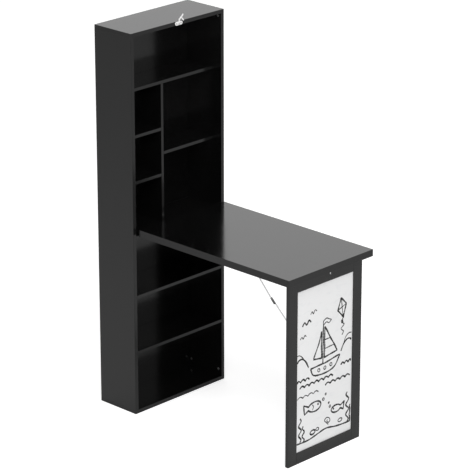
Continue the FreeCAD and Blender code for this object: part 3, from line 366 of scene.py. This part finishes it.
def soften_outside(bm, low, high, width):
    """Round the twelve outer edges of a board, and leave its bores and grooves sharp."""
    outer = []
    for edge in bm.edges:
        first, second = (touched_planes(vert, low, high) for vert in edge.verts)
        if len(first & second) > 1:
            outer.append(edge)
    soften(bm, outer, width)


def add_block(bm, low, high, width):
    """Add a rectangular block with rounded edges."""
    size = [top - bottom for bottom, top in zip(low, high)]
    middle = [(top + bottom) / 2 for bottom, top in zip(low, high)]
    place = Matrix.Translation(middle) @ Matrix.Diagonal((*size, 1))
    block = bmesh.ops.create_cube(bm, size=1.0, matrix=place)
    edges = dict.fromkeys(edge for vert in block["verts"] for edge in vert.link_edges)
    soften(bm, list(edges), width)


BAND = 0.8 * MM
BAND_SEAM = 0.02 * MM
BOARD_ROUNDING = 0.15 * MM
BAND_ROUNDING = 0.35 * MM
FRAME_ROUNDING = 0.5 * MM
# Sides of a board: the axis, and 0 for its low end or 1 for its high end
LEFT, RIGHT, FRONT, REAR = (0, 0), (0, 1), (1, 0), (1, 1)


def banded_board(node, edges):
    """A laminated board set back by its edge bands, and the bands as a piece of their own."""
    low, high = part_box(node)
    core_low, core_high = low.copy(), high.copy()
    bm = welded_copy(node)
    for axis, end in edges:
        limit = (low, high)[end][axis]
        step = BAND if end == 0 else -BAND
        for vert in bm.verts:
            if abs(vert.co[axis] - limit) < NEAR:
                vert.co[axis] += step
        (core_low, core_high)[end][axis] += step
    soften_outside(bm, core_low, core_high, BOARD_ROUNDING)
    finish = "desk_laminate" if node == "desk_board" else "laminate"
    piece(node + "_board", bm, BODY_OF[node], finish, [node])
    bands = bmesh.new()
    for axis, end in edges:
        # Front and rear bands end a hair short of the board's ends and the bands there
        band_low = Vector((core_low.x + BAND_SEAM, low.y, low.z))
        band_high = Vector((core_high.x - BAND_SEAM, high.y, high.z))
        if end == 0:
            band_low[axis] = low[axis]
            band_high[axis] = core_low[axis]
        else:
            band_low[axis] = core_high[axis]
            band_high[axis] = high[axis]
        add_block(bands, band_low, band_high, BAND_ROUNDING)
    piece(node + "_edge_bands", bands, BODY_OF[node], "edge_band")


BOARD_EDGES = {
    "left_side_panel": (FRONT, REAR),
    "right_side_panel": (FRONT, REAR),
    "top_panel": (LEFT, RIGHT, FRONT, REAR),
    "bottom_panel": (LEFT, RIGHT, FRONT, REAR),
    "desk_level_board": (FRONT,),
    "bottom_section_low_shelf": (FRONT,),
    "bottom_section_middle_shelf": (FRONT,),
    "left_column_low_shelf": (FRONT,),
    "left_column_high_shelf": (FRONT,),
    "right_column_shelf": (FRONT,),
    "upper_shelf": (FRONT,),
    "column_divider": (FRONT,),
    "desk_board": (LEFT, RIGHT, FRONT, REAR),
}
for node, edges in BOARD_EDGES.items():
    banded_board(node, edges)

for node in ("leg_left_stile", "leg_right_stile", "leg_bottom_rail", "leg_top_rail"):
    bm = welded_copy(node)
    soften_outside(bm, *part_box(node), FRAME_ROUNDING)
    piece(node + "_foiled", bm, BODY_OF[node], "foil", [node])


def sharp_edges(bm):
    """The edges where a mesh bends sharply."""
    return [edge for edge in bm.edges
            if len(edge.link_faces) == 2 and edge.calc_face_angle() > SHARP_ANGLE]


def softened_fitting(node, finish, width, rounds):
    """A metal or plastic fitting whose sharp edges are rounded."""
    bm = welded_copy(node)
    soften(bm, sharp_edges(bm), width, rounds)
    bmesh.ops.dissolve_degenerate(bm, dist=NEAR, edges=bm.edges[:])
    piece(node + "_softened", bm, BODY_OF[node], finish, [node], smooth=True)


# The finish of each fitting, the width of its rounded edges, and the steps across them
SOFTENED_FITTINGS = {
    "desk_hinge_cabinet_leaves": ("zinc_plate", 0.15 * MM, 2),
    "desk_hinge_desk_leaves": ("zinc_plate", 0.15 * MM, 2),
    "leg_hinge_desk_leaves": ("zinc_plate", 0.15 * MM, 2),
    "leg_hinge_leg_leaves": ("zinc_plate", 0.15 * MM, 2),
    "desk_hinge_pins": ("zinc_plate", 0.3 * MM, 3),
    "leg_hinge_pins": ("zinc_plate", 0.3 * MM, 3),
    "stay_desk_brackets": ("zinc_plate", 0.2 * MM, 2),
    "stay_leg_brackets": ("zinc_plate", 0.2 * MM, 2),
    "stay_desk_rivets": ("zinc_plate", 0.3 * MM, 3),
    "stay_leg_rivets": ("zinc_plate", 0.3 * MM, 3),
    "stay_upper_links": ("zinc_plate", 0.25 * MM, 2),
    "stay_lower_links": ("zinc_plate", 0.25 * MM, 2),
    "stay_lock_sleeves": ("sleeve_plastic", 0.3 * MM, 2),
    "shelf_pins": ("zinc_plate", 0.3 * MM, 2),
    "back_joining_strip": ("black_plastic", 0.2 * MM, 2),
    "latch_hook": ("white_plastic", 0.8 * MM, 3),
    "latch_base": ("white_plastic", 0.6 * MM, 3),
}
for node, (finish, width, rounds) in SOFTENED_FITTINGS.items():
    softened_fitting(node, finish, width, rounds)


def islands(bm):
    """The corners of each separate solid in a mesh, in the order of the mesh."""
    met = set()
    for first in bm.verts:
        if first in met:
            continue
        met.add(first)
        solid = [first]
        for vert in solid:
            for edge in vert.link_edges:
                other = edge.other_vert(vert)
                if other not in met:
                    met.add(other)
                    solid.append(other)
        yield solid


def limits(verts):
    """Lowest and highest corner of some points."""
    places = [vert.co for vert in verts]
    return (Vector([min(place[axis] for place in places) for axis in range(3)]),
            Vector([max(place[axis] for place in places) for axis in range(3)]))


# The size of a driver's cross at its bottom, as a share of the size at the head's face
CROSS_TAPER = 0.45


def add_cross(bm, at, outward, arm, width, depth):
    """Add a tapered cross, as a driver's tip has, that sinks into a head at a point."""
    turn = outward.to_track_quat("Z", "Y").to_matrix().to_4x4()
    half = width / 2
    outline = [(arm, -half), (arm, half), (half, half),
               (half, arm), (-half, arm), (-half, half),
               (-arm, half), (-arm, -half), (-half, -half),
               (-half, -arm), (half, -arm), (half, -half)]
    rings = []
    for height, share in ((depth, 1.0), (0.0, 1.0), (-depth, CROSS_TAPER)):
        rings.append([bm.verts.new(turn @ Vector((x * share, y * share, height)) + at)
                      for x, y in outline])
    for lower, upper in zip(rings[1:], rings):
        for number in range(len(outline)):
            following = (number + 1) % len(outline)
            bm.faces.new((lower[number], lower[following], upper[following], upper[number]))
    bm.faces.new(rings[0])
    bm.faces.new(list(reversed(rings[-1])))


DOWN, TO_REAR, TO_FRONT = Vector((0, 0, -1)), Vector((0, 1, 0)), Vector((0, -1, 0))
# The way that the heads look where it isn't down
HEAD_DIRECTIONS = {
    "leg_hinge_leg_screws": TO_REAR, "stay_leg_screws": TO_REAR,
    "desk_hinge_cabinet_screws": TO_FRONT, "latch_screws": TO_FRONT, "latch_pivot": TO_FRONT,
}


def head_direction(node, low, high):
    """The way that the head of a screw or the face of a cam looks."""
    if node == "cam_locks" and high.z - low.z >= high.x - low.x:
        # A cam in a side panel looks to the middle of the cabinet
        return Vector((-math.copysign(1, low.x), 0, 0))
    return HEAD_DIRECTIONS.get(node, DOWN)


def driven_fitting(node, finish, arm, width, depth, rounding):
    """Screws or cams with a cross recess sunk in each head."""
    bm = welded_copy(node)
    soften(bm, sharp_edges(bm), rounding)
    crosses = bmesh.new()
    for solid in islands(bm):
        low, high = limits(solid)
        outward = head_direction(node, low, high)
        reach = (high - low) / 2
        at = (low + high) / 2 + Vector([side * half for side, half in zip(outward, reach)])
        add_cross(crosses, at, outward, arm, width, depth)
    made = piece(node + "_with_recesses", bm, BODY_OF[node], finish, [node])
    cutter_mesh = bpy.data.meshes.new("crosses")
    bmesh.ops.recalc_face_normals(crosses, faces=crosses.faces[:])
    crosses.to_mesh(cutter_mesh)
    crosses.free()
    cutter = bpy.data.objects.new("crosses", cutter_mesh)
    bpy.context.scene.collection.objects.link(cutter)
    difference = made.modifiers.new("recesses", "BOOLEAN")
    difference.operation = "DIFFERENCE"
    difference.object = cutter
    bpy.context.view_layer.update()
    cut_piece = made.evaluated_get(bpy.context.evaluated_depsgraph_get())
    sunk = bpy.data.meshes.new_from_object(cut_piece)
    made.modifiers.clear()
    made.data = sunk
    sunk.shade_smooth()
    sunk.set_sharp_from_angle(angle=SHARP_ANGLE)
    bpy.data.objects.remove(cutter)


driven_fitting("cam_locks", "cast_zinc",
               arm=4.2 * MM, width=1.6 * MM, depth=2.2 * MM, rounding=0.3 * MM)
for node in ("desk_hinge_cabinet_screws", "desk_hinge_desk_screws", "leg_hinge_desk_screws",
             "leg_hinge_leg_screws", "stay_desk_screws", "stay_leg_screws"):
    driven_fitting(node, "screw",
                   arm=1.35 * MM, width=0.45 * MM, depth=0.8 * MM, rounding=0.08 * MM)
driven_fitting("latch_screws", "nickel",
               arm=1.9 * MM, width=0.65 * MM, depth=1.2 * MM, rounding=0.1 * MM)
driven_fitting("latch_pivot", "nickel",
               arm=2.2 * MM, width=0.8 * MM, depth=1.0 * MM, rounding=0.4 * MM)

KNOB_SIDES = 40
DOME_STEPS = 6


def turned_knob():
    """The knob under the desk's end: a domed head on a waisted neck with a collar."""
    low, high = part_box("latch_knob")
    board_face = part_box("desk_board")[0].z
    middle = (low + high) / 2
    neck = (high.x - low.x) / 4
    head = 1.6 * neck
    drop = board_face - low.z
    dome_low, dome_rise = low.z + 0.07 * drop, 0.09 * drop
    profile = [(0.0, dome_low)]
    for step in range(1, DOME_STEPS + 1):
        angle = math.radians(90 * step / DOME_STEPS)
        profile.append((head * math.sin(angle), dome_low + dome_rise * (1 - math.cos(angle))))
    # The head's rim, the neck and the collar, up the drop from the knob's lowest point
    for radius, share in ((head, 0.20), (0.9 * head, 0.25), (neck, 0.33),
                          (0.9 * neck, 0.6), (neck, 0.8), (1.5 * neck, 0.88)):
        profile.append((radius, low.z + share * drop))
    # The collar against the board, and the shank inside it
    profile += [(1.5 * neck, board_face), (0.95 * neck, board_face),
                (0.95 * neck, high.z), (0.0, high.z)]
    bm = bmesh.new()
    rings = []
    for radius, height in profile:
        angles = [2 * math.pi * turn / KNOB_SIDES for turn in range(KNOB_SIDES if radius else 1)]
        rings.append([bm.verts.new((middle.x + radius * math.cos(angle),
                                    middle.y + radius * math.sin(angle), height))
                      for angle in angles])
    for lower, upper in zip(rings, rings[1:]):
        for turn in range(KNOB_SIDES):
            following = (turn + 1) % KNOB_SIDES
            corners = [lower[turn % len(lower)], lower[following % len(lower)],
                       upper[following % len(upper)], upper[turn % len(upper)]]
            bm.faces.new(list(dict.fromkeys(corners)))
    piece("latch_knob_turned", bm, "desk", "screw", ["latch_knob"], smooth=True)


turned_knob()

# Nodes that keep their own shape
KEPT_NODES = {
    "upper_back_panel": "back_panel",
    "lower_back_panel": "back_panel",
    "whiteboard": "whiteboard",
    "cam_bolts": "screw",
    "wood_dowels": "beech",
    "divider_dowels": "beech",
    "leg_frame_dowels": "beech",
}
for node, finish in KEPT_NODES.items():
    frame["nodes"][node].data.materials[0] = FINISHES[finish]

# Marker drawing on the whiteboard: strokes as shares of the visible window, across and up
WINDOW_LOW = Vector((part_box("leg_left_stile")[1].x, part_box("leg_bottom_rail")[1].z))
WINDOW_HIGH = Vector((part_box("leg_right_stile")[0].x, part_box("leg_top_rail")[0].z))
WINDOW = WINDOW_HIGH - WINDOW_LOW
DRAWING_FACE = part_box("whiteboard")[0].y
INK_FACE = DRAWING_FACE - 0.06 * MM
# Corners of a stroke's section: how far across, in half widths, and how deep
STROKE_SECTION = ((-1, DRAWING_FACE), (-0.8, INK_FACE), (0.8, INK_FACE), (1, DRAWING_FACE))
BROAD, FINE = 6.4 * MM, 4.2 * MM
STROKE_STEP = 1.5 * MM


def ring(across, up, width, height, count, turns=1.0, start=0.0):
    """Points round an oval, or round a share of it."""
    angles = [2 * math.pi * (start + turns * number / count) for number in range(count + 1)]
    return [(across + width * math.cos(angle), up + height * math.sin(angle)) for angle in angles]


def shares(count):
    """Evenly spaced shares from 0 to 1."""
    return [number / count for number in range(count + 1)]


ARC_POINTS, SWAY_POINTS = 6, 4


def wave(start, end, up, height, count):
    """Scalloped water: a row of small arcs."""
    return [(start + (end - start) * share,
             up + height * abs(math.sin(math.pi * count * share)))
            for share in shares(count * ARC_POINTS)]


def weed(across, low, high, sway, count):
    """A wavy stalk."""
    return [(across + sway * math.sin(math.pi * count * share), low + (high - low) * share)
            for share in shares(count * SWAY_POINTS)]


SMOOTH, STRAIGHT = True, False
STROKES = [
    # boat: hull, rail, mast, sails, pennant, portholes
    (BROAD, SMOOTH, [(0.25, 0.492), (0.30, 0.448), (0.42, 0.432), (0.60, 0.436), (0.70, 0.456),
                     (0.78, 0.512)]),
    (BROAD, STRAIGHT, [(0.25, 0.492), (0.50, 0.494), (0.78, 0.512)]),
    (BROAD, STRAIGHT, [(0.47, 0.496), (0.475, 0.735)]),
    (BROAD, STRAIGHT, [(0.50, 0.724), (0.73, 0.545), (0.50, 0.530), (0.50, 0.724)]),
    (BROAD, SMOOTH, [(0.445, 0.700), (0.39, 0.625), (0.30, 0.545)]),
    (BROAD, STRAIGHT, [(0.30, 0.545), (0.445, 0.532), (0.445, 0.700)]),
    (FINE, SMOOTH, [(0.475, 0.735), (0.53, 0.748), (0.575, 0.738), (0.62, 0.752)]),
    (FINE, SMOOTH, [(0.475, 0.760), (0.53, 0.772), (0.575, 0.762), (0.62, 0.752)]),
    (FINE, STRAIGHT, [(0.475, 0.732), (0.475, 0.762)]),
    (FINE, SMOOTH, ring(0.40, 0.463, 0.020, 0.010, 8)),
    (FINE, SMOOTH, ring(0.51, 0.465, 0.020, 0.010, 8)),
    (FINE, SMOOTH, ring(0.62, 0.470, 0.020, 0.010, 8)),
    (FINE, STRAIGHT, [(0.50, 0.640), (0.605, 0.640)]),
    (FINE, STRAIGHT, [(0.50, 0.585), (0.675, 0.588)]),
    # water
    (BROAD, SMOOTH, wave(0.0, 0.235, 0.432, 0.013, 3)),
    (BROAD, SMOOTH, wave(0.80, 1.0, 0.440, 0.012, 3)),
    (BROAD, SMOOTH, wave(0.06, 0.66, 0.393, 0.012, 7)),
    (BROAD, SMOOTH, wave(0.52, 0.97, 0.352, 0.012, 5)),
    (FINE, SMOOTH, wave(0.02, 0.40, 0.330, 0.011, 4)),
    # hills on the horizon
    (BROAD, SMOOTH, [(0.0, 0.556), (0.05, 0.574), (0.11, 0.573), (0.17, 0.548), (0.215, 0.506)]),
    (FINE, SMOOTH, [(0.0, 0.602), (0.04, 0.606), (0.085, 0.594), (0.125, 0.570)]),
    (BROAD, SMOOTH, [(0.80, 0.528), (0.85, 0.568), (0.91, 0.588), (0.96, 0.587), (1.0, 0.575)]),
    (FINE, SMOOTH, [(0.85, 0.570), (0.88, 0.604), (0.94, 0.622), (1.0, 0.618)]),
    # kite and its tail
    (BROAD, STRAIGHT, [(0.79, 0.862), (0.885, 0.815), (0.835, 0.735), (0.735, 0.790),
                       (0.79, 0.862)]),
    (FINE, STRAIGHT, [(0.79, 0.862), (0.835, 0.735)]),
    (FINE, STRAIGHT, [(0.885, 0.815), (0.735, 0.790)]),
    (FINE, SMOOTH, [(0.835, 0.735), (0.80, 0.712), (0.85, 0.690), (0.795, 0.668), (0.84, 0.648),
                    (0.815, 0.628)]),
    (FINE, STRAIGHT, [(0.80, 0.722), (0.835, 0.703)]),
    (FINE, STRAIGHT, [(0.80, 0.702), (0.832, 0.722)]),
    # gulls
    (BROAD, SMOOTH, [(0.10, 0.776), (0.14, 0.795), (0.175, 0.777), (0.215, 0.800),
                     (0.255, 0.784)]),
    (FINE, SMOOTH, [(0.24, 0.832), (0.27, 0.846), (0.295, 0.832), (0.325, 0.850), (0.355, 0.838)]),
    (FINE, SMOOTH, [(0.06, 0.700), (0.09, 0.713), (0.115, 0.700), (0.145, 0.716), (0.17, 0.706)]),
    # fish with their tails and eyes
    (BROAD, SMOOTH, ring(0.33, 0.245, 0.115, 0.030, 16, 0.92, 0.54)),
    (BROAD, STRAIGHT, [(0.222, 0.256), (0.135, 0.278), (0.150, 0.218), (0.225, 0.236)]),
    (FINE, SMOOTH, ring(0.395, 0.252, 0.010, 0.005, 6)),
    (FINE, SMOOTH, [(0.29, 0.262), (0.31, 0.246), (0.29, 0.228)]),
    (BROAD, SMOOTH, ring(0.72, 0.175, 0.085, 0.023, 14, 0.92, 0.04)),
    (BROAD, STRAIGHT, [(0.800, 0.182), (0.870, 0.200), (0.858, 0.152), (0.798, 0.167)]),
    (FINE, SMOOTH, ring(0.675, 0.180, 0.008, 0.004, 6)),
    # bubbles
    (FINE, SMOOTH, ring(0.49, 0.268, 0.016, 0.008, 8)),
    (FINE, SMOOTH, ring(0.53, 0.294, 0.011, 0.0055, 8)),
    (FINE, SMOOTH, ring(0.61, 0.205, 0.014, 0.007, 8)),
    (FINE, SMOOTH, ring(0.59, 0.232, 0.009, 0.0045, 8)),
    # weed, sand, pebbles and a coiled shell
    (BROAD, SMOOTH, weed(0.07, 0.055, 0.205, 0.022, 5)),
    (BROAD, SMOOTH, weed(0.13, 0.050, 0.150, 0.018, 4)),
    (BROAD, SMOOTH, weed(0.93, 0.060, 0.250, 0.024, 6)),
    (BROAD, SMOOTH, weed(0.985, 0.058, 0.165, 0.016, 4)),
    (BROAD, SMOOTH, [(0.0, 0.052), (0.20, 0.047), (0.38, 0.062), (0.56, 0.075), (0.74, 0.060),
                     (1.0, 0.056)]),
    (BROAD, SMOOTH, ring(0.30, 0.087, 0.045, 0.013, 10)),
    (FINE, SMOOTH, ring(0.385, 0.094, 0.026, 0.009, 8)),
    (FINE, SMOOTH, ring(0.80, 0.090, 0.036, 0.011, 10)),
    (FINE, SMOOTH, [(0.585, 0.093), (0.55, 0.107), (0.515, 0.128), (0.555, 0.142), (0.605, 0.131),
                    (0.612, 0.112), (0.578, 0.106), (0.556, 0.118), (0.572, 0.126)]),
]


def on_board(point):
    """A stroke's point on the whiteboard, from its shares of the window."""
    return Vector((WINDOW_LOW.x + WINDOW.x * point[0], 0, WINDOW_LOW.y + WINDOW.y * point[1]))


def drawn_line(points, smooth):
    """Evenly spaced places along a stroke, smoothly through its points or straight between."""
    line = []
    ends = [points[0]] + points + [points[-1]]
    for number in range(1, len(ends) - 2):
        before, start, end, after = (on_board(point) for point in ends[number - 1:number + 3])
        count = max(2, round((end - start).length / STROKE_STEP))
        for step in range(count):
            share = step / count
            if smooth:
                line.append(0.5 * (2 * start + (end - before) * share
                                   + (2 * before - 5 * start + 4 * end - after) * share ** 2
                                   + (3 * start - before - 3 * end + after) * share ** 3))
            else:
                line.append(start.lerp(end, share))
    line.append(on_board(points[-1]))
    return line


# How the hand wavers: a slow and a quick swell of the width, the narrow ends, and the wobble
# of the line. A pace is in radians for each step along the stroke.
SLOW_SWELL, SLOW_PACE = 0.16, 0.21
QUICK_SWELL, QUICK_PACE = 0.08, 0.83
END_PRESS = 0.6
WOBBLE, WOBBLE_PACE_ACROSS, WOBBLE_PACE_UP = 0.5 * MM, 0.13, 0.11
LARGEST_PHASE = 6
HAND_SEED = 4


def add_stroke(bm, line, width, hand):
    """Add one stroke as a thin layer of ink with a wavering width and narrow ends."""
    last = len(line) - 1
    phase = hand.uniform(0, LARGEST_PHASE)
    sections = []
    for number, place in enumerate(line):
        along = (line[min(number + 1, last)] - line[max(number - 1, 0)]).normalized()
        across = Vector((-along.z, 0, along.x))
        press = (1 + SLOW_SWELL * math.sin(SLOW_PACE * number + phase)
                 + QUICK_SWELL * math.sin(QUICK_PACE * number))
        if number in (0, last):
            press *= END_PRESS
        half = width / 2 * press
        sections.append([bm.verts.new(place + across * side * half + Vector((0, depth, 0)))
                         for side, depth in STROKE_SECTION])
    for first, second in zip(sections, sections[1:]):
        for number in range(len(STROKE_SECTION)):
            following = (number + 1) % len(STROKE_SECTION)
            bm.faces.new((first[number], first[following], second[following], second[number]))
    bm.faces.new(list(reversed(sections[0])))
    bm.faces.new(sections[-1])


def marker_drawing():
    """Draw all strokes on the whiteboard as one piece of ink."""
    bm = bmesh.new()
    hand = random.Random(HAND_SEED)
    for width, smooth, points in STROKES:
        line = drawn_line(points, smooth)
        phase = hand.uniform(0, LARGEST_PHASE)
        for number, place in enumerate(line):
            place.x += WOBBLE * math.sin(WOBBLE_PACE_ACROSS * number + phase)
            place.z += WOBBLE * math.cos(WOBBLE_PACE_UP * number + phase)
            place.x = min(max(place.x, WINDOW_LOW.x + width), WINDOW_HIGH.x - width)
        add_stroke(bm, line, width, hand)
    piece("whiteboard_drawing", bm, "leg", "marker")


marker_drawing()

FLOOR_REACH = 60
FLOOR_GAP = 0.5 * MM
# Light that the floor adds for the camera alone, so that it shows as full white
FLOOR_LIFT = grey(0.56)


def paper_white_floor():
    """A plain floor that the camera sees as white, apart from the shadow on it."""
    finish = Finish("floor_paint", {
        "Base Color": grey(0.93), "Roughness": 0.6, "Specular IOR Level": 0.2,
        "Emission Strength": 1.0})
    seen = finish.node("LightPath", output="Is Camera Ray")
    finish.feed(emission_color=finish.blend(seen, grey(0.0), FLOOR_LIFT))
    bm = bmesh.new()
    bmesh.ops.create_grid(bm, x_segments=1, y_segments=1, size=FLOOR_REACH)
    mesh = bpy.data.meshes.new("floor")
    bm.to_mesh(mesh)
    bm.free()
    mesh.materials.append(finish.material)
    floor = bpy.data.objects.new("floor", mesh)
    floor.location.z = -FLOOR_GAP
    bpy.context.scene.collection.objects.link(floor)


# How bright the white room is to matt and to glossy surfaces. The camera sees it at 1.
ROOM_ON_MATT, ROOM_IN_GLOSS = 0.48, 1.12
LAMP_SIDE = 3.0
LAMP_WATTS = 165
LAMP_PLACE = (-2.2, -3.2, 4.2)
LAMP_AIM = Vector((0, -0.3, 0.6))


def studio_light():
    """Even white room light and one large soft lamp from the upper left of the front."""
    world = bpy.data.worlds.new("studio")
    bpy.context.scene.world = world
    room = Shading(world, "Background")
    room.shader.inputs["Color"].default_value = grey(1.0)
    diffuse = room.node("LightPath", output="Is Diffuse Ray")
    glossy = room.node("LightPath", output="Is Glossy Ray")
    room.feed(strength=1.0 - (1.0 - ROOM_ON_MATT) * diffuse + (ROOM_IN_GLOSS - 1.0) * glossy)
    lamp = bpy.data.lights.new("soft_lamp", "AREA")
    lamp.shape = "SQUARE"
    lamp.size = LAMP_SIDE
    lamp.energy = LAMP_WATTS
    lamp_object = bpy.data.objects.new("soft_lamp", lamp)
    lamp_object.location = LAMP_PLACE
    aim = LAMP_AIM - lamp_object.location
    lamp_object.rotation_euler = aim.to_track_quat("-Z", "Y").to_euler()
    bpy.context.scene.collection.objects.link(lamp_object)


# The camera fitted to the photograph: its place, 20 degrees down, lens and sensor in mm
CAMERA_PLACE = (-6.75719, -6.90235, 4.17755)
CAMERA_TILT = math.radians(90 - 20.082)
CAMERA_HEADING = math.radians(-46.0654)
CAMERA_LENS = 203.94
CAMERA_SENSOR = 36
CAMERA_REACH = 200


def camera():
    """The camera at the photograph's viewing angle."""
    lens = bpy.data.cameras.new("camera")
    lens.sensor_width = CAMERA_SENSOR
    lens.lens = CAMERA_LENS
    lens.clip_end = CAMERA_REACH
    eye = bpy.data.objects.new("camera", lens)
    eye.location = CAMERA_PLACE
    eye.rotation_euler = (CAMERA_TILT, 0, CAMERA_HEADING)
    bpy.context.scene.collection.objects.link(eye)
    bpy.context.scene.camera = eye


paper_white_floor()
studio_light()
camera()
bpy.context.scene.view_settings.view_transform = "Standard"
